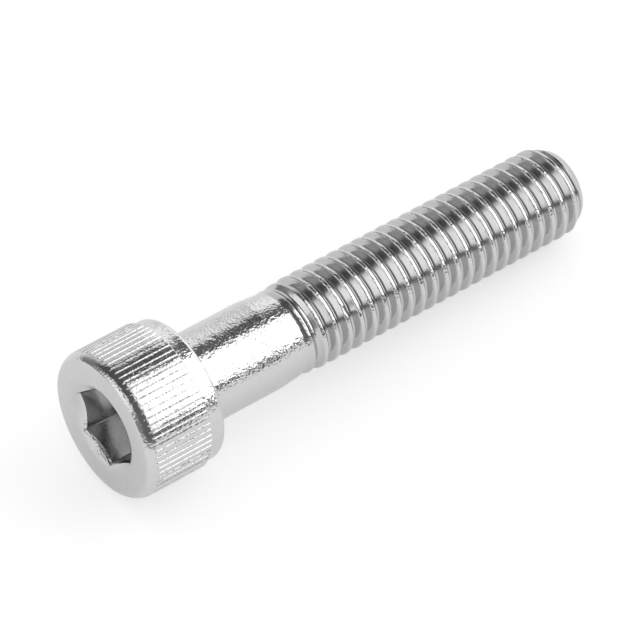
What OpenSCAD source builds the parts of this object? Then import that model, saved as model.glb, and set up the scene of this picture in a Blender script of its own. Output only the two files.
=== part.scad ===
// Socket head cap screw, M8 x 1.25, 40 mm nominal length, partly threaded, with a knurled head
// and a hex socket. It lies as it comes to rest: on the knurl's front edge and on the last full
// crest of the thread. X runs from the head to the tip and Z is up. All lengths are in millimetres.

/* [Head] */
// Diameter over the ridges of the knurl
head_d = 12.75; // [11:0.05:15]
// Height of the head, from the bearing face to the top face
head_h = 7.64; // [7:0.02:10]
// Radius of the rounded edge round the top face
edge_r = 1.4; // [1.1:0.05:2]
// How far that edge runs down the side of the head
edge_len = 1.04; // [0.5:0.02:1.08]
// Length of the plain band between the knurl and the bearing face
land_len = 1.66; // [1.1:0.02:2.4]
// How far the plain band lies below the ridges of the knurl
land_drop = 0.25; // [0.22:0.01:0.5]
// Length of the slope from the knurl down to the plain band
step_len = 0.16; // [0.05:0.01:0.4]
// Radius of the rounded rim round the bearing face
rim_r = 0.5; // [0.2:0.02:0.8]

/* [Knurl] */
// Number of grooves round the head
groove_count = 72; // [40:1:84]
// Depth of a groove
groove_depth = 0.1; // [0.05:0.01:0.21]
// Width of a groove at the ridges
groove_w = 0.22; // [0.1:0.01:0.3]

/* [Socket] */
// Width across the flats of the hex socket
socket_af = 6.08; // [5:0.02:6.8]
// Depth of the straight walls of the socket
socket_depth = 4.3; // [4.2:0.05:4.8]
// Angle of the cone at the bottom of the socket
bottom_angle = 120; // [110:1:150]
// Diameter of the countersink at the mouth of the socket
mouth_d = 7.84; // [7.3:0.02:8.6]
// Angle of that countersink
mouth_angle = 120; // [90:1:130]
// Turn of the hex about the screw's axis
socket_turn = 44.5; // [0:0.5:59.5]

/* [Shank] */
// Length under the head, from the bearing face to the tip
length = 39.5; // [35:0.5:80]
// How far the plain shank is under the outer diameter of the thread
shank_under = 0.04; // [0.02:0.01:0.3]
// Radius of the fillet under the head
fillet_r = 0.4; // [0.2:0.05:0.8]
// Length of the slope from the shank down to where the thread begins
neck_len = 2.1; // [0.5:0.1:4]

/* [Thread] */
// Outer diameter of the thread
thread_d = 7.82; // [7.2:0.02:8.4]
// Pitch of the thread
pitch = 1.25; // [0.75:0.05:1.5]
// Length of the full thread, from the end of its run-out to the tip
thread_len = 27.3; // [15:0.1:31]
// Length of the run-out, over which the first turns fade in
runout_len = 2.5; // [1.5:0.1:4]
// How far the blank is under the outer diameter, where the run-out begins
blank_drop = 0.23; // [0.1:0.01:0.5]
// Where the crest of the thread crosses the underside of the lying screw, within one pitch
crest_phase = 0.9; // [0:0.01:0.99]
// Length of the chamfer at the tip
point_len = 1.6; // [0.8:0.1:2.5]
// How far the end face is under the outer diameter, measured on the radius
point_drop = 0.89; // [0.6:0.01:1.2]
// Steps round each turn of the thread
turn_steps = 32; // [16:4:40]

/* [Hidden] */
$fn = 96;
steel = [0.72, 0.73, 0.74];
// Clear distance by which a cutter stands out of what it cuts
over = 0.5;
// How far the drill point at the socket's bottom keeps inside the flats
drill_clear = 0.05;

// The head's radii, from the top face down to the bearing face
head_r = head_d/2;
face_r = head_r - (edge_r - sqrt(edge_r*edge_r - edge_len*edge_len));
land_r = head_r - land_drop;
bearing_r = land_r - rim_r;

// The basic profile of a metric thread, as shares of its pitch
crest_flat = pitch/8;
root_flat = pitch/4;
thread_depth = 0.6134*pitch;
thread_r = thread_d/2;
root_r = thread_r - thread_depth;
blank_r = thread_r - blank_drop;
point_r = thread_r - point_drop;
shank_r = thread_r - shank_under;

// Places along the screw's own axis, counted from the bearing face towards the tip
thread_start = length - thread_len - runout_len;
shank_end = thread_start - neck_len;
point_start = length - point_len;
// The disc at the shank's end is a little wider than the thread that stands on it, and the core
// that reaches on into the thread stays well under its roots
seat_r = blank_r + 0.02;
core_r = root_r - 0.5;

// The screw lies on the knurl's front edge and on the last full crest
last_crest = crest_phase + pitch*floor((point_start - crest_phase - crest_flat/2)/pitch) + crest_flat/2;
lie_angle = atan((head_r - thread_r)/(last_crest + land_len));
rest_height = head_r*cos(lie_angle) - land_len*sin(lie_angle);
box_left = head_h*cos(lie_angle) + face_r*sin(lie_angle);
box_right = length*cos(lie_angle) + point_r*sin(lie_angle);
rest_shift = (box_left - box_right)/2;

// A value that climbs evenly from a to b while z passes from z0 to z1
function climb(z, z0, z1, a, b) = a + (b - a)*min(1, max(0, (z - z0)/(z1 - z0)));

// Outer half of the head and the plain shank, drawn from the axis outwards
module head_outline() {
    difference() {
        union() {
            translate([0, -head_h]) square([head_r, head_h - land_len]);
            polygon([
                [0, -land_len - over], [head_r, -land_len], [land_r, step_len - land_len],
                [land_r, -rim_r], [bearing_r, 0], [0, 0]
            ]);
            translate([bearing_r, -rim_r]) circle(rim_r);
        }
        edge_cutter();
    }
}

// What the rounded edge takes off the corner of the top face
module edge_cutter() {
    difference() {
        translate([head_r - edge_r, -head_h - over]) square([edge_r + over, edge_len + over]);
        translate([head_r - edge_r, edge_len - head_h]) circle(edge_r);
    }
}

// The plain shank, its slope down to the blank, and the core that reaches on into the thread
module shank_outline() {
    polygon([
        [0, -over], [shank_r, -over], [shank_r, shank_end], [seat_r, thread_start],
        [core_r, thread_start], [core_r, thread_start + over], [0, thread_start + over]
    ]);
    difference() {
        translate([shank_r - over, -over]) square([fillet_r + over, fillet_r + over]);
        translate([shank_r + fillet_r, fillet_r]) circle(fillet_r);
    }
}

// One straight V for each groove, from outside the top face to just past the knurl
module knurl_grooves() {
    slope = groove_w/2/groove_depth;
    reach = groove_depth/2;
    translate([0, 0, -head_h - over])
        linear_extrude(head_h - land_len + step_len + over)
            for (i = [0:groove_count - 1])
                rotate(i*360/groove_count)
                    polygon([
                        [head_r - groove_depth, 0],
                        [head_r + reach, slope*(groove_depth + reach)],
                        [head_r + reach, -slope*(groove_depth + reach)]
                    ]);
}

// The hexagonal punch, the drill point below it and the countersink at the mouth
module hex_socket() {
    corner_r = socket_af/2/cos(30);
    drill_r = socket_af/2 - drill_clear;
    bottom_h = drill_r/tan(bottom_angle/2);
    mouth_h = mouth_d/2/tan(mouth_angle/2);
    over_r = over*tan(mouth_angle/2);
    translate([0, 0, -head_h]) {
        rotate(socket_turn)
            translate([0, 0, -over]) cylinder(h = socket_depth + over, r = corner_r, $fn = 6);
        rotate_extrude()
            polygon([
                [0, socket_depth - over], [drill_r, socket_depth - over],
                [drill_r, socket_depth], [0, socket_depth + bottom_h]
            ]);
        translate([0, 0, -over]) cylinder(h = mouth_h + over, r1 = mouth_d/2 + over_r, r2 = 0);
    }
}

// Each turn has four strings of points: the two edges of its crest and the two of its root
string_places = [-crest_flat/2, crest_flat/2, (pitch - root_flat)/2, (pitch + root_flat)/2];
string_count = len(string_places);
first_crest = crest_phase + pitch*(floor((thread_start - crest_phase)/pitch) - 2);
turn_count = ceil((length - first_crest)/pitch) + 1;
step_count = turn_count*turn_steps;
// A point nearer than this to an end is moved onto the ring of points at that end
end_gap = pitch/turn_steps;

function string_z(k, t) = first_crest + pitch*t/turn_steps + string_places[k];
function point_limit(z) = climb(z, point_start, length, thread_r, point_r);
function crest_at(z) = min(point_limit(z), climb(z, thread_start, thread_start + runout_len, blank_r, thread_r));
function root_at(z) = min(point_limit(z), climb(z, thread_start, thread_start + runout_len, blank_r, root_r));
function ring_point(r, j, z) = [r*cos(360*j/turn_steps), r*sin(360*j/turn_steps), z];
function string_point(k, t) =
    let (z = min(length, max(thread_start, string_z(k, t))))
    ring_point(k < 2 ? crest_at(z) : root_at(z), t, z);

// Points are numbered along the strings, and then round the first and the last ring
first_ring = (step_count + turn_steps + 1)*string_count;
last_ring = first_ring + turn_steps;
function point_index(k, t) =
    k == string_count ? point_index(0, t + turn_steps)
    : string_z(k, t) < thread_start + end_gap ? first_ring + t%turn_steps
    : string_z(k, t) > length - end_gap ? last_ring + t%turn_steps
    : t*string_count + k;

// A triangle with two of its corners on one point has no area, so it is left out
function whole(faces) = [for (f = faces) if (f[0] != f[1] && f[1] != f[2] && f[2] != f[0]) f];

module thread() {
    points = concat(
        [for (t = [0:step_count + turn_steps], k = [0:string_count - 1]) string_point(k, t)],
        [for (j = [0:turn_steps - 1]) ring_point(blank_r, j, thread_start)],
        [for (j = [0:turn_steps - 1]) ring_point(point_r, j, length)]
    );
    near_side = [
        for (t = [0:step_count - 1], k = [0:string_count - 1])
            [point_index(k + 1, t + 1), point_index(k, t + 1), point_index(k, t)]
    ];
    far_side = [
        for (t = [0:step_count - 1], k = [0:string_count - 1])
            [point_index(k + 1, t), point_index(k + 1, t + 1), point_index(k, t)]
    ];
    ends = [
        [for (j = [0:turn_steps - 1]) first_ring + j],
        [for (j = [turn_steps - 1:-1:0]) last_ring + j]
    ];
    polyhedron(points, concat(whole(near_side), whole(far_side), ends), convexity = 10);
}

module upright_screw() {
    difference() {
        rotate_extrude() {
            head_outline();
            shank_outline();
        }
        knurl_grooves();
        hex_socket();
    }
    thread();
}

module screw() {
    color(steel)
        translate([rest_shift, 0, rest_height])
            rotate([0, 90 + lie_angle, 0])
                upright_screw();
}

screw();
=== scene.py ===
# Hex socket cap screw, lying on a white table.
# The CAD solid gives the place and the size. One refined piece stands for it: the same head, shank
# and thread, with the rounds, the run-out and the edges that the eye looks for.
import random
from math import asin, atan, atan2, cos, degrees, floor, pi, radians, sin, sqrt, tan

import bmesh
import bpy
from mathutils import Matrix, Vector


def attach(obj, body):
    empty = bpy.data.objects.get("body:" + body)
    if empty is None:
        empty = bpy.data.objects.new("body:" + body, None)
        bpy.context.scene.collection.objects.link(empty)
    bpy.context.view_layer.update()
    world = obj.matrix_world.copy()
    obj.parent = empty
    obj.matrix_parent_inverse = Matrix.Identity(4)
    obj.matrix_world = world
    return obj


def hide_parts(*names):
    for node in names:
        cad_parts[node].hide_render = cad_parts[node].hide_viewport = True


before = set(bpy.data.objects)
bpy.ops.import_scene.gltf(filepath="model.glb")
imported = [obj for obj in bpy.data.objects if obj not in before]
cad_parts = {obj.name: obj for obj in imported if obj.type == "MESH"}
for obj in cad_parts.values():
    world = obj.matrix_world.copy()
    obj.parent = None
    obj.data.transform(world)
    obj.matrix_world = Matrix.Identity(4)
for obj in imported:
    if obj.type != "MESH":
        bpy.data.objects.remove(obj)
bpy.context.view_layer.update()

MM = 0.001
# Points nearer to each other than this, in millimetres, become one: in general, and at a level cut
WELD, WELD_AT_CUT = 0.0005, 0.002

# Sizes of the screw in millimetres, the same as in the CAD source
HEAD_R, HEAD_H = 6.375, 7.64
EDGE_R, EDGE_LEN = 1.4, 1.04
LAND_LEN, LAND_DROP, STEP_LEN, RIM_R = 1.66, 0.25, 0.16, 0.5
GROOVES, GROOVE_DEPTH = 72, 0.1
SOCKET_AF, SOCKET_DEPTH, SOCKET_TURN = 6.08, 4.3, 44.5
MOUTH_R, CONE_TAN = 3.92, tan(radians(60))
LENGTH, THREAD_R, PITCH = 39.5, 3.91, 1.25
SHANK_R, BLANK_R = 3.87, 3.68
SHANK_END, THREAD_START, RUNOUT = 7.6, 9.7, 2.5
POINT_LEN, POINT_R, CREST_PHASE = 1.6, 3.02, 0.9
FILLET_R = 0.4

# How it lies: on the knurl's front edge and on the last full crest
crest_half = PITCH / 16
last_crest = CREST_PHASE + PITCH * floor((LENGTH - POINT_LEN - CREST_PHASE - crest_half) / PITCH)
LIE = atan((HEAD_R - THREAD_R) / (last_crest + crest_half + LAND_LEN))
FACE_R = HEAD_R - (EDGE_R - sqrt(EDGE_R**2 - EDGE_LEN**2))
REST_Z = HEAD_R * cos(LIE) - LAND_LEN * sin(LIE)
REST_X = (HEAD_H * cos(LIE) + FACE_R * sin(LIE) - LENGTH * cos(LIE) - POINT_R * sin(LIE)) / 2


# Small helpers for mesh work


def make_active(piece):
    """Selects one piece alone and makes it the active one."""
    bpy.ops.object.select_all(action="DESELECT")
    piece.select_set(True)
    bpy.context.view_layer.objects.active = piece


def apply_modifier(piece, kind, **settings):
    """Adds a modifier with its settings and applies it at once."""
    make_active(piece)
    mod = piece.modifiers.new(kind.lower(), kind)
    for key, value in settings.items():
        setattr(mod, key, value)
    bpy.ops.object.modifier_apply(modifier=mod.name)


def edit(piece):
    """Opens one piece in edit mode, with nothing selected."""
    make_active(piece)
    bpy.ops.object.mode_set(mode="EDIT")
    bpy.ops.mesh.select_mode(type="VERT")
    bpy.ops.mesh.select_all(action="DESELECT")


def close_edit():
    """Goes back to object mode."""
    bpy.ops.object.mode_set(mode="OBJECT")


def pick(piece, test, mode="VERT"):
    """Selects, in edit mode, the vertices, edges or faces that pass the test."""
    bpy.ops.mesh.select_mode(type=mode)
    bpy.ops.mesh.select_all(action="DESELECT")
    mesh = bmesh.from_edit_mesh(piece.data)
    for part in {"VERT": mesh.verts, "EDGE": mesh.edges, "FACE": mesh.faces}[mode]:
        part.select_set(test(part))
    mesh.select_flush_mode()
    bmesh.update_edit_mesh(piece.data)


def pick_rim(piece, test=lambda co: True):
    """Selects the open edges whose two ends pass the test."""
    pick(piece, lambda e: e.is_boundary and all(test(v.co) for v in e.verts), "EDGE")


def lathe(rings, after=None):
    """Extrudes the selected ring from each (radius, height) to the next one, in millimetres."""
    for (r0, z0), (r1, z1) in zip(rings, rings[1:]):
        bpy.ops.mesh.extrude_region_move(TRANSFORM_OT_translate={"value": (0, 0, (z1 - z0) * MM)})
        bpy.ops.transform.resize(value=(r1 / r0, r1 / r0, 1), center_override=(0, 0, 0))
        if after:
            after(r1)


def start_ring(name, steps, radius, height):
    """Adds an open circle as a new piece and leaves it in edit mode, all selected."""
    bpy.ops.object.select_all(action="DESELECT")
    bpy.ops.mesh.primitive_circle_add(vertices=steps, radius=radius * MM, location=(0, 0, height * MM))
    piece = bpy.context.object
    piece.name = name
    bpy.ops.object.transform_apply(location=True, rotation=True, scale=True)
    edit(piece)
    bpy.ops.mesh.select_all(action="SELECT")
    return piece


def cut_with(piece, cutter):
    """Takes the cutter's shape out of the piece, and the cutter out of the scene."""
    # The solver is only sure what is inside a closed piece, so the open rim at z = 0 has a cap
    # while the cut is made
    edit(piece)
    pick_rim(piece)
    bpy.ops.mesh.edge_face_add()
    close_edit()
    apply_modifier(piece, "BOOLEAN", operation="DIFFERENCE", solver="EXACT", object=cutter)
    bpy.data.objects.remove(cutter)
    edit(piece)
    pick(
        piece,
        lambda f: len(f.verts) >= TURN_STEPS and all(abs(v.co.z) < WELD * MM for v in f.verts),
        "FACE",
    )
    bpy.ops.mesh.delete(type="ONLY_FACE")
    close_edit()


def arc(cx, cz, r, a0, a1, steps):
    """Points on a round, as (radius, height) pairs, from angle a0 to a1 in degrees."""
    turns = [radians(a0 + (a1 - a0) * i / steps) for i in range(1, steps + 1)]
    return [(cx + r * cos(turn), cz + r * sin(turn)) for turn in turns]


# The thread and the shank: one pitch of the thread's side view is drawn point by point, then swept
# as a helix that starts a little before the thread and goes on past the tip
TURN_STEPS = 96
FIRST_ROOT = CREST_PHASE + PITCH * (floor((SHANK_END - CREST_PHASE) / PITCH) - 1.5)
TURNS = 30
PAST_TIP = LENGTH + 1.0
SHANK_RING = 7.0
HALF_WAY = LENGTH / 2
# The heights past the tip over which the thread fades out
FADE_FROM, FADE_TO = LENGTH + 0.1, LENGTH + 0.4
# Where a crest is nicked on the lying screw, the way the nick goes, and the reach and depth of its
# two bites
NICK, NICK_WAY = Vector((-1.14, -2.85, 7.98)), Vector((0, 0.725, -0.687))
NICK_BITES = ((0.46, 0.09), (0.32, 0.12))
# The flat of a crest, the rounds at its shoulders and at the root, and the flank's slope between them
CREST_HALF, CREST_SAG, CREST_ROUND, ROOT_ROUND = 0.08, 0.002, 0.09, 0.20
FLANK, BEND_STEPS = 60, 4
# How far from each of its ends a flank has one more point, which keeps its shading straight
FLANK_END = 0.08


def thread_profile():
    """One pitch from root to root, as (along the axis, radius) points, with rounded crest and root."""
    bends = [radians(FLANK * i / BEND_STEPS) for i in range(BEND_STEPS + 1)]
    crest = [(CREST_HALF + CREST_ROUND * sin(t), THREAD_R - CREST_ROUND * (1 - cos(t))) for t in bends]
    root_half = PITCH / 2 - ROOT_ROUND * sin(bends[-1])
    foot = crest[-1][1] - (root_half - crest[-1][0]) * tan(bends[-1])
    bottom = foot - ROOT_ROUND * (1 - cos(bends[-1]))
    root = [(PITCH / 2 - ROOT_ROUND * sin(t), bottom + ROOT_ROUND * (1 - cos(t))) for t in reversed(bends)]
    flank = [
        tuple(a + (b - a) * share for a, b in zip(crest[-1], root[0]))
        for share in (FLANK_END, 1 - FLANK_END)
    ]
    half = [(0, THREAD_R - CREST_SAG)] + crest + flank + root
    rising = [(PITCH / 2 - along, radius) for along, radius in reversed(half)]
    falling = [(PITCH / 2 + along, radius) for along, radius in half]
    return rising + falling[1:]


def share_of(z, z0, z1):
    """How far z has come on its way from z0 to z1, from 0 to 1."""
    return min(1, max(0, (z - z0) / (z1 - z0)))


def cast_to_cylinder(piece, name, radius, share_at):
    """Draws the points towards a cylinder, by a share that depends on their height."""
    group = piece.vertex_groups.new(name=name)
    for v in piece.data.vertices:
        share = share_at(v.co.z / MM)
        if share > 0:
            group.add([v.index], share, "REPLACE")
    apply_modifier(
        piece, "CAST", cast_type="CYLINDER", use_z=False, use_radius_as_size=False, factor=1,
        size=radius * MM, vertex_group=name,
    )


profile = thread_profile()
bpy.ops.object.select_all(action="DESELECT")
bpy.ops.mesh.primitive_plane_add(size=0.01 * MM, location=(profile[0][1] * MM, 0, FIRST_ROOT * MM))
screw = bpy.context.object
screw.name = "screw_refined"
bpy.ops.object.transform_apply(location=True, rotation=True, scale=True)
edit(screw)
bpy.ops.mesh.select_all(action="SELECT")
bpy.ops.mesh.merge(type="CENTER")
for (s0, r0), (s1, r1) in zip(profile, profile[1:]):
    step = ((r1 - r0) * MM, 0, (s1 - s0) * MM)
    bpy.ops.mesh.extrude_region_move(TRANSFORM_OT_translate={"value": step})
close_edit()
apply_modifier(
    screw, "SCREW", axis="Z", angle=2 * pi, screw_offset=PITCH * MM, iterations=TURNS, steps=TURN_STEPS,
    render_steps=TURN_STEPS,
)
edit(screw)
bpy.ops.mesh.select_all(action="SELECT")
bpy.ops.mesh.remove_doubles(threshold=WELD * MM)
close_edit()

# The first turns fade in from the blank, the neck slopes up to the shank, and past the tip the
# thread fades out, where the chamfer's cutter takes it away
cast_to_cylinder(
    screw, "blank", BLANK_R,
    lambda z: max(1 - share_of(z, THREAD_START, THREAD_START + RUNOUT), share_of(z, FADE_FROM, FADE_TO)),
)
cast_to_cylinder(screw, "neck", SHANK_R, lambda z: 1 - share_of(z, SHANK_END, THREAD_START))
screw.vertex_groups.clear()

# Both ragged ends are cut off level: the far one gets a face, the near one grows on into the shank
edit(screw)
for level, keeps_above in ((SHANK_RING, True), (PAST_TIP, False)):
    bpy.ops.mesh.select_all(action="SELECT")
    bpy.ops.mesh.bisect(
        plane_co=(0, 0, level * MM), plane_no=(0, 0, 1), clear_inner=keeps_above,
        clear_outer=not keeps_above, threshold=0.0001 * MM,
    )
bpy.ops.mesh.select_all(action="SELECT")
bpy.ops.mesh.remove_doubles(threshold=WELD_AT_CUT * MM)
pick_rim(screw, lambda co: co.z > HALF_WAY * MM)
bpy.ops.mesh.edge_face_add()
pick_rim(screw, lambda co: co.z < HALF_WAY * MM)
shank_rings = [(SHANK_R, FILLET_R)] + arc(SHANK_R + FILLET_R, FILLET_R, FILLET_R, 180, 270, 6)
lathe([(SHANK_R, SHANK_RING)] + shank_rings)
bpy.ops.mesh.select_all(action="SELECT")
bpy.ops.mesh.normals_make_consistent(inside=False)
close_edit()

# The chamfer at the tip: a cup that holds everything outside the point's cone is cut away
POINT_SLOPE = POINT_LEN / (THREAD_R - POINT_R)
CUP_R, CUP_ROOM, CUP_TOP = 4.8, 6.0, PAST_TIP + 2
cup_rings = [
    (CUP_ROOM, CUP_TOP), (CUP_ROOM, LENGTH - 4),
    (CUP_R, LENGTH - POINT_LEN - (CUP_R - THREAD_R) * POINT_SLOPE),
    (POINT_R + 0.16, LENGTH - 0.16 * POINT_SLOPE), (POINT_R + 0.03, LENGTH - 0.13),
    (POINT_R - 0.10, LENGTH - 0.045), (POINT_R - 0.26, LENGTH),
]
cup = start_ring("chamfer_cup", TURN_STEPS, *cup_rings[0])
bpy.ops.mesh.edge_face_add()
bpy.ops.mesh.select_all(action="SELECT")
lathe(cup_rings)
bpy.ops.mesh.edge_face_add()
bpy.ops.mesh.select_all(action="SELECT")
bpy.ops.mesh.normals_make_consistent(inside=False)
close_edit()
cut_with(screw, cup)

# The head, drawn from the bearing face out and back to the top face
KNURL_STEPS = 10
RING_STEPS = GROOVES * KNURL_STEPS
# How much of its depth a groove has at each step away from its middle
GROOVE_SIDE = (1, 0.12, 0, 0, 0, 0)
OPENING_R, FACE_INNER_R = 5.2, 4.7
LAND_R = HEAD_R - LAND_DROP
FACE_Z = -HEAD_H
# The knurling wheel bites a little deeper at some grooves, so they run out at different places
random.seed(8)
bites = [GROOVE_DEPTH * random.uniform(0.5, 0.9) for _ in range(GROOVES)]


def press_grooves(radius):
    """Gives the selected ring its radius again, pressed in where a groove crosses it."""
    for v in bmesh.from_edit_mesh(head.data).verts:
        if v.select:
            step = round(atan2(v.co.y, v.co.x) / (2 * pi) * RING_STEPS) % RING_STEPS
            groove, off = divmod(step + KNURL_STEPS // 2, KNURL_STEPS)
            share = GROOVE_SIDE[abs(off - KNURL_STEPS // 2)]
            depth = max(0, radius - HEAD_R + bites[groove % GROOVES]) * share
            v.co.xy = v.co.xy.normalized() * (radius - depth) * MM
    bmesh.update_edit_mesh(head.data)


head_rings = (
    [(OPENING_R, 0), (LAND_R - RIM_R, 0)]
    + arc(LAND_R - RIM_R, -RIM_R, RIM_R, 90, 0, 8)
    + [(LAND_R, -LAND_LEN + STEP_LEN + 0.04), (LAND_R + 0.012, -LAND_LEN + STEP_LEN)]
    + [(HEAD_R - 0.13, -LAND_LEN + 0.083), (HEAD_R - 0.035, -LAND_LEN + 0.018)]
    + [(HEAD_R - 0.008, -LAND_LEN - 0.012), (HEAD_R, -LAND_LEN - 0.05)]
    + [(HEAD_R, z) for z in (-3.0, -4.2, -5.4)]
    + [(HEAD_R, FACE_Z + EDGE_LEN)]
    + arc(HEAD_R - EDGE_R, FACE_Z + EDGE_LEN, EDGE_R, 0, -degrees(asin(EDGE_LEN / EDGE_R)), 16)
    + [(FACE_INNER_R, FACE_Z)]
)
head = start_ring("head_work", RING_STEPS, *head_rings[0])
lathe(head_rings, press_grooves)
bpy.ops.mesh.edge_face_add()
bpy.ops.mesh.select_all(action="SELECT")
bpy.ops.mesh.normals_make_consistent(inside=False)
close_edit()

# The hex socket: hexagon, drill point and the countersink at its mouth
CORNER_R, CORNER_ROUND = SOCKET_AF / 2 / cos(radians(30)), 0.07
DRILL_R = SOCKET_AF / 2 - 0.05
# How far a cutter stands out of what it cuts, and how far from the axis a cone's last ring is
STAND_OUT, CONE_END_R = 0.5, 0.05


def add_punch():
    """The hexagonal punch, with its long edges slightly rounded."""
    bpy.ops.object.select_all(action="DESELECT")
    bpy.ops.mesh.primitive_cylinder_add(
        vertices=6, radius=CORNER_R * MM, depth=(SOCKET_DEPTH + STAND_OUT) * MM,
        location=(0, 0, (FACE_Z + (SOCKET_DEPTH - STAND_OUT) / 2) * MM),
        rotation=(0, 0, radians(SOCKET_TURN + 30)),
    )
    punch = bpy.context.object
    bpy.ops.object.transform_apply(location=True, rotation=True, scale=True)
    edit(punch)
    pick(punch, lambda e: abs(e.verts[0].co.z - e.verts[1].co.z) > MM, "EDGE")
    bpy.ops.mesh.bevel(offset=CORNER_ROUND * MM, segments=3, affect="EDGES")
    close_edit()
    return punch


def add_cone(steps, rings):
    """A closed turned cutter, from its first ring to a point on the axis."""
    cone = start_ring("cone_cutter", steps, *rings[0])
    bpy.ops.mesh.edge_face_add()
    bpy.ops.mesh.select_all(action="SELECT")
    lathe(rings)
    bpy.ops.mesh.merge(type="CENTER")
    bpy.ops.mesh.select_all(action="SELECT")
    bpy.ops.mesh.normals_make_consistent(inside=False)
    close_edit()
    return cone


cut_with(head, add_punch())
FLOOR_Z = FACE_Z + SOCKET_DEPTH
drill_rings = [
    (DRILL_R, FLOOR_Z - STAND_OUT), (DRILL_R, FLOOR_Z),
    (CONE_END_R, FLOOR_Z + (DRILL_R - CONE_END_R) / CONE_TAN),
]
cut_with(head, add_cone(96, drill_rings))
mouth_rings = [
    (MOUTH_R + STAND_OUT * CONE_TAN, FACE_Z - STAND_OUT),
    (CONE_END_R, FACE_Z + (MOUTH_R - CONE_END_R) / CONE_TAN),
]
cut_with(head, add_cone(144, mouth_rings))

# The punched edges are never quite sharp: the mouth, its scallops and the face's rim are broken
CREASE, LIP, FACE_RIM = 20, 0.16, 0.09
edit(head)
bpy.ops.mesh.select_all(action="SELECT")
bpy.ops.mesh.remove_doubles(threshold=WELD * MM)


def is_crease(e):
    """Whether the two faces at an edge meet at more than the least angle of a crease."""
    return len(e.link_faces) == 2 and e.calc_face_angle(0) > radians(CREASE)


def radius_of(co):
    """How far a point is from the screw's upright axis, in millimetres."""
    return sqrt(co.x**2 + co.y**2) / MM


pick(
    head,
    lambda e: is_crease(e)
    and all(radius_of(v.co) < MOUTH_R + 0.05 and v.co.z / MM < FACE_Z + 1.2 for v in e.verts)
    and abs(e.verts[0].co.z - e.verts[1].co.z) < 0.5 * MM,
    "EDGE",
)
bpy.ops.mesh.bevel(offset=LIP * MM, segments=1, affect="EDGES", clamp_overlap=False)
pick(
    head,
    lambda e: is_crease(e) and all(abs(radius_of(v.co) - FACE_R) < 0.01 for v in e.verts),
    "EDGE",
)
bpy.ops.mesh.bevel(offset=FACE_RIM * MM, segments=3, affect="EDGES", clamp_overlap=True)
close_edit()

# Head and shank become one piece, laid down as the screw rests
make_active(screw)
head.select_set(True)
bpy.ops.object.join()
edit(screw)
pick_rim(screw, lambda co: abs(co.z) < 0.01 * MM)
bpy.ops.mesh.bridge_edge_loops()
bpy.ops.mesh.select_all(action="SELECT")
bpy.ops.mesh.normals_make_consistent(inside=False)
close_edit()
screw.rotation_euler = (0, pi / 2 + LIE, 0)
screw.location = (REST_X * MM, 0, REST_Z * MM)
bpy.ops.object.transform_apply(location=True, rotation=True, scale=True)
# The small nick in one crest near the start of the thread
edit(screw)
for reach, depth in NICK_BITES:
    pick(screw, lambda v: (v.co - NICK * MM).length < reach * MM)
    bpy.ops.transform.translate(value=NICK_WAY * (depth * MM))
close_edit()
bpy.ops.object.shade_smooth_by_angle(angle=radians(28))

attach(screw, "root")
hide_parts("screw")


# Materials


def linear(code):
    """An sRGB hex colour as linear values."""
    parts = [int(code[i : i + 2], 16) / 255 for i in (1, 3, 5)]
    return [c / 12.92 if c <= 0.04045 else ((c + 0.055) / 1.055) ** 2.4 for c in parts] + [1]


def add_node(tree, kind, settings=None, inputs=None, links=None):
    """Adds one node, sets it up, fills its inputs and links other nodes' outputs into it."""
    node = tree.nodes.new(kind)
    for key, value in (settings or {}).items():
        setattr(node, key, value)
    for key, value in (inputs or {}).items():
        node.inputs[key].default_value = value
    for key, (source, output) in (links or {}).items():
        tree.links.new(source.outputs[output], node.inputs[key])
    return node


# Stainless steel, cold forged, its thread formed in rolling dies, tumbled bright: a near mirror that the
# forging has left slightly pebbled, with a satin thread where the dies pressed it, a slightly darker base
# grey on the thread's flanks and roots below the crests, and a socket that the punch has left smooth
steel = bpy.data.materials.new("stainless_steel_cold_forged")
steel.use_nodes = True
tree = steel.node_tree
tree.nodes.clear()
place = add_node(tree, "ShaderNodeTexCoord")
# Millimetres in the screw's own upright frame, from the place it lies in
upright = add_node(
    tree, "ShaderNodeMapping", {"vector_type": "TEXTURE"},
    {"Location": (REST_X * MM, 0, REST_Z * MM), "Rotation": (0, pi / 2 + LIE, 0), "Scale": (MM, MM, MM)},
    {"Vector": (place, "Object")},
)
parts = add_node(tree, "ShaderNodeSeparateXYZ", links={0: (upright, 0)})
across = add_node(tree, "ShaderNodeCombineXYZ", links={"X": (parts, "X"), "Y": (parts, "Y")})
radial = add_node(tree, "ShaderNodeVectorMath", {"operation": "LENGTH"}, links={0: (across, 0)})
# Shares that climb to their most between two heights, or between two distances from the axis. The
# flanks that the dies rolled are satin, the crests between them keep the blank's own skin.
height, far_out = (parts, "Z"), (radial, "Value")
in_bore, in_head, past_mouth, in_thread, under_crest, on_knurl = [
    add_node(
        tree, "ShaderNodeMapRange", inputs={"From Min": begin, "From Max": end, "To Max": most},
        links={"Value": measure},
    )
    for measure, begin, end, most in [
        (far_out, MOUTH_R + 0.06, MOUTH_R - 0.3, 1),
        (height, -1.0, -2.0, 1),
        (height, FACE_Z + 0.39, FACE_Z + 0.59, 1),
        (height, THREAD_START - 0.3, THREAD_START + RUNOUT, 1),
        (far_out, THREAD_R - 0.04, THREAD_R - 0.16, 1),
        (far_out, HEAD_R - 0.24, HEAD_R - 0.12, 0.4),
    ]
]
in_socket = add_node(
    tree, "ShaderNodeMath", {"operation": "MULTIPLY"},
    links={0: (in_bore, "Result"), 1: (in_head, "Result")},
)
in_socket = add_node(
    tree, "ShaderNodeMath", {"operation": "MULTIPLY"},
    links={0: (in_socket, 0), 1: (past_mouth, "Result")},
)
on_flank = add_node(
    tree, "ShaderNodeMath", {"operation": "MULTIPLY"},
    links={0: (under_crest, "Result"), 1: (in_thread, "Result")},
)
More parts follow.
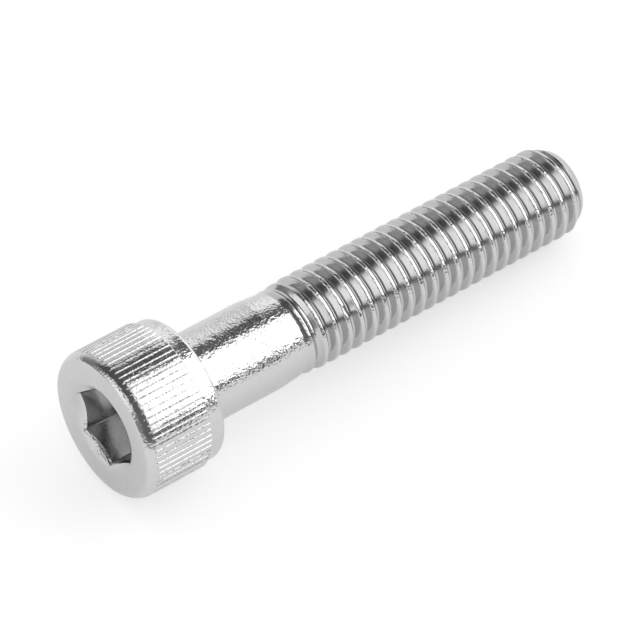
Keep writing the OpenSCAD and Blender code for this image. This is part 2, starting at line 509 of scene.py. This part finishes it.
pressed = add_node(
    tree, "ShaderNodeMath", {"operation": "MAXIMUM"}, links={0: (on_flank, 0), 1: (in_socket, 0)},
)
pressed = add_node(
    tree, "ShaderNodeMath", {"operation": "MAXIMUM"}, links={0: (pressed, 0), 1: (on_knurl, "Result")},
)
pebbled = add_node(
    tree, "ShaderNodeMapRange", inputs={"To Min": 1, "To Max": 0.08}, links={"Value": (pressed, 0)},
)
# Pebbles of the forging, about half a millimetre across, and the tumbling's grain, a seventh of one
pebble = add_node(
    tree, "ShaderNodeTexNoise", inputs={"Scale": 1.8, "Detail": 1, "Roughness": 0.5},
    links={"Vector": (upright, 0)},
)
speckle = add_node(
    tree, "ShaderNodeTexNoise", inputs={"Scale": 5.0, "Detail": 1, "Roughness": 0.5},
    links={"Vector": (upright, 0)},
)
pebble_bump = add_node(
    tree, "ShaderNodeBump", inputs={"Distance": 0.036 * MM},
    links={"Height": (pebble, "Fac"), "Strength": (pebbled, "Result")},
)
speckle_bump = add_node(
    tree, "ShaderNodeBump", inputs={"Distance": 0.034 * MM},
    links={"Height": (speckle, "Fac"), "Strength": (pebbled, "Result"), "Normal": (pebble_bump, "Normal")},
)
shine = add_node(
    tree, "ShaderNodeMapRange", inputs={"To Min": 0.06, "To Max": 0.14}, links={"Value": (speckle, "Fac")},
)
rough = add_node(
    tree, "ShaderNodeMath", {"operation": "MULTIPLY_ADD"}, {1: 0.07}, {0: (pressed, 0), 2: (shine, "Result")},
)
tone = add_node(
    tree, "ShaderNodeMix", {"data_type": "RGBA"}, {6: linear("#CDCDCD"), 7: linear("#D5D5D5")},
    {0: (pebble, "Fac")},
)
# A slightly darker base grey on the thread's flanks and roots below the crests
darker_below_crests = add_node(
    tree, "ShaderNodeMix", {"data_type": "RGBA"}, {7: linear("#C4C4C4")}, {0: (on_flank, 0), 6: (tone, 2)},
)
burnished = add_node(
    tree, "ShaderNodeMix", {"data_type": "RGBA"}, {7: linear("#D2D2D2")}, {0: (in_socket, 0), 6: (darker_below_crests, 2)},
)
shader = add_node(
    tree, "ShaderNodeBsdfPrincipled", inputs={"Metallic": 1},
    links={"Base Color": (burnished, 2), "Roughness": (rough, 0), "Normal": (speckle_bump, "Normal")},
)
add_node(tree, "ShaderNodeOutputMaterial", links={"Surface": (shader, 0)})
for piece in (screw, *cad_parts.values()):
    piece.data.materials.clear()
    piece.data.materials.append(steel)

# The table and the light
bpy.ops.object.select_all(action="DESELECT")
bpy.ops.mesh.primitive_plane_add(size=3)
table = bpy.context.object
table.name = "white_table"
paper = bpy.data.materials.new("white_paper_sweep")
paper.use_nodes = True
tree = paper.node_tree
tree.nodes.clear()
# The camera sees the paper lifted to white, metal sees it with more of its shadows, and both keep them
rays = add_node(tree, "ShaderNodeLightPath")
mirrored = add_node(
    tree, "ShaderNodeMath", {"operation": "MAXIMUM"},
    links={0: (rays, "Is Glossy Ray"), 1: (rays, "Is Transmission Ray")},
)
# Painted light: the paper glows more for the metal on the camera's side than behind the screw, as if a lamp
# lit the near side more, and the screw's lower side mirrors that glow
where = add_node(tree, "ShaderNodeNewGeometry")
spot = add_node(tree, "ShaderNodeSeparateXYZ", links={0: (where, "Position")})
# Painted light on the paper, seen only by the metal: more glow towards the camera's side
painted_light_near_side = add_node(
    tree, "ShaderNodeMapRange",
    inputs={"From Min": -0.01, "From Max": 0.02, "To Min": 0.22, "To Max": 0.05},
    links={"Value": (spot, "Y")},
)
painted_glow_for_metal = add_node(
    tree, "ShaderNodeMath", {"operation": "MULTIPLY"}, links={0: (mirrored, 0), 1: (painted_light_near_side, "Result")},
)
lift = add_node(
    tree, "ShaderNodeMath", {"operation": "MULTIPLY_ADD"}, {1: 0.45},
    {0: (rays, "Is Camera Ray"), 2: (painted_glow_for_metal, 0)},
)
matte = add_node(tree, "ShaderNodeBsdfDiffuse", inputs={"Color": linear("#FAFAFA")})
glow = add_node(tree, "ShaderNodeEmission", inputs={"Color": (1, 1, 1, 1), "Strength": 1.25})
mixed = add_node(tree, "ShaderNodeMixShader", links={0: (lift, 0), 1: (matte, 0), 2: (glow, 0)})
add_node(tree, "ShaderNodeOutputMaterial", links={"Surface": (mixed, 0)})
table.data.materials.append(paper)

# The studio as metal sees it: one long softbox overhead on the camera's side, a second one beyond
# the head's end, a pale wall behind the table, and the dark room in the gaps between them
world = bpy.data.worlds.new("studio")
bpy.context.scene.world = world
world.use_nodes = True
tree = world.node_tree
tree.nodes.clear()
way = add_node(tree, "ShaderNodeTexCoord")
split = add_node(tree, "ShaderNodeSeparateXYZ", links={0: (way, "Generated")})
near = add_node(tree, "ShaderNodeMath", {"operation": "MULTIPLY"}, {1: -1}, {0: (split, "Y")})
turn = add_node(tree, "ShaderNodeMath", {"operation": "ARCTAN2"}, links={0: (near, 0), 1: (split, "Z")})
whole = add_node(
    tree, "ShaderNodeMapRange", inputs={"From Min": -pi, "From Max": pi}, links={"Value": (turn, 0)},
)
BRIGHTEST = 2.2


def bands_of(stops):
    """Levels of light round the screw's length, by the angle from straight up towards the camera."""
    ramp = add_node(tree, "ShaderNodeValToRGB", links={0: (whole, 0)})
    elements = ramp.color_ramp.elements
    elements.remove(elements[0])
    for i, (angle, light) in enumerate(stops):
        place, grey = 0.5 + angle / 360, light / BRIGHTEST
        stop = elements[0] if i == 0 else elements.new(place)
        stop.position = place
        stop.color = (grey, grey, grey, 1)
    return ramp, 0


def along(low, high, first, second, place):
    """Goes over from the first bands to the second ones between two places along the screw."""
    share = add_node(
        tree, "ShaderNodeMapRange", {"interpolation_type": "SMOOTHSTEP"},
        {"From Min": low, "From Max": high}, {"Value": place},
    )
    return add_node(
        tree, "ShaderNodeMix", {"data_type": "RGBA"}, links={0: (share, "Result"), 6: first, 7: second},
    ), 2


at_the_ends = bands_of([(-90, 1.25), (90, 1.25)])
at_head_end = bands_of([
    (-90, 0.50), (-60, 0.45), (-51, 0.7), (-45, 1.4), (-35, 1.6), (-20, 1.6), (18, 1.55), (29, 1.2),
    (42, 0.48), (68, 0.33), (86, 0.55),
])
in_the_gap = bands_of([(-90, 0.35), (-60, 0.28), (-48, 0.12), (10, 0.15), (40, 0.2), (84, 0.2), (90, 0.5)])
over_the_shank = bands_of([
    (-90, 1.0), (-44, 0.95), (-36, 0.13), (-8, 0.12), (2, 1.7), (8, 2.2), (73, 2.2), (78, 0.12), (88, 0.12),
    (93, 0.95),
])
# The wall behind reaches further towards the head's end than the softbox does
reach = add_node(
    tree, "ShaderNodeMapRange",
    inputs={"From Min": radians(-48), "From Max": radians(-38), "To Min": 0.38, "To Max": 0},
    links={"Value": (turn, 0)},
)
shifted = add_node(
    tree, "ShaderNodeMath", {"operation": "ADD"}, links={0: (split, "X"), 1: (reach, "Result")},
)
level = along(-0.97, -0.90, at_the_ends, at_head_end, (split, "X"))
level = along(-0.68, -0.42, level, in_the_gap, (split, "X"))
level = along(0.14, 0.46, level, over_the_shank, (shifted, 0))
level = along(0.72, 0.92, level, at_the_ends, (split, "X"))
# The softbox is dimmer towards its end over the shank's middle
middle = add_node(
    tree, "ShaderNodeMapRange", {"interpolation_type": "SMOOTHSTEP"},
    {"From Min": 0.48, "From Max": 0.56, "To Min": 0.8 * BRIGHTEST, "To Max": 1.3 * BRIGHTEST},
    {"Value": (split, "X")},
)
walls = add_node(
    tree, "ShaderNodeVectorMath", {"operation": "SCALE"}, links={0: level, "Scale": (middle, "Result")},
)
# What lights the paper is plain, and comes a little more from behind the screw and from its tip
lit_from = add_node(
    tree, "ShaderNodeVectorMath", {"operation": "DOT_PRODUCT"}, {1: (0.3, 0.95, 0)}, {0: (way, "Generated")},
)
behind = add_node(
    tree, "ShaderNodeMapRange", inputs={"From Min": -1, "From Max": 1, "To Min": 0.70, "To Max": 0.97},
    links={"Value": (lit_from, "Value")},
)
rays = add_node(tree, "ShaderNodeLightPath")
studio = add_node(tree, "ShaderNodeBackground", links={"Color": (walls, 0)})
soft = add_node(
    tree, "ShaderNodeBackground", inputs={"Color": (1, 1, 1, 1)}, links={"Strength": (behind, "Result")},
)
plain = add_node(tree, "ShaderNodeBackground", inputs={"Color": (1, 1, 1, 1), "Strength": 1})
mixed = add_node(
    tree, "ShaderNodeMixShader", links={0: (rays, "Is Diffuse Ray"), 1: (studio, 0), 2: (soft, 0)},
)
mixed = add_node(
    tree, "ShaderNodeMixShader", links={0: (rays, "Is Camera Ray"), 1: (mixed, 0), 2: (plain, 0)},
)
add_node(tree, "ShaderNodeOutputWorld", links={0: (mixed, 0)})

# The camera, where the photograph was taken from
VIEW_FROM = Vector((-162.89, -204.5, 296.37)) * MM
YAW, PITCH_DOWN, FOCAL_PX, FRAME_PX, SENSOR_MM = radians(51.752), radians(48.266), 4861, 640, 36
camera = bpy.data.objects.new("camera", bpy.data.cameras.new("camera"))
bpy.context.scene.collection.objects.link(camera)
camera.location = VIEW_FROM
camera.rotation_euler = (pi / 2 - PITCH_DOWN, 0, YAW - pi / 2)
camera.data.sensor_width = SENSOR_MM
camera.data.lens = SENSOR_MM * FOCAL_PX / FRAME_PX
camera.data.clip_start = 0.01
camera.data.clip_end = 10
bpy.context.scene.camera = camera
bpy.context.scene.view_settings.view_transform = "Standard"
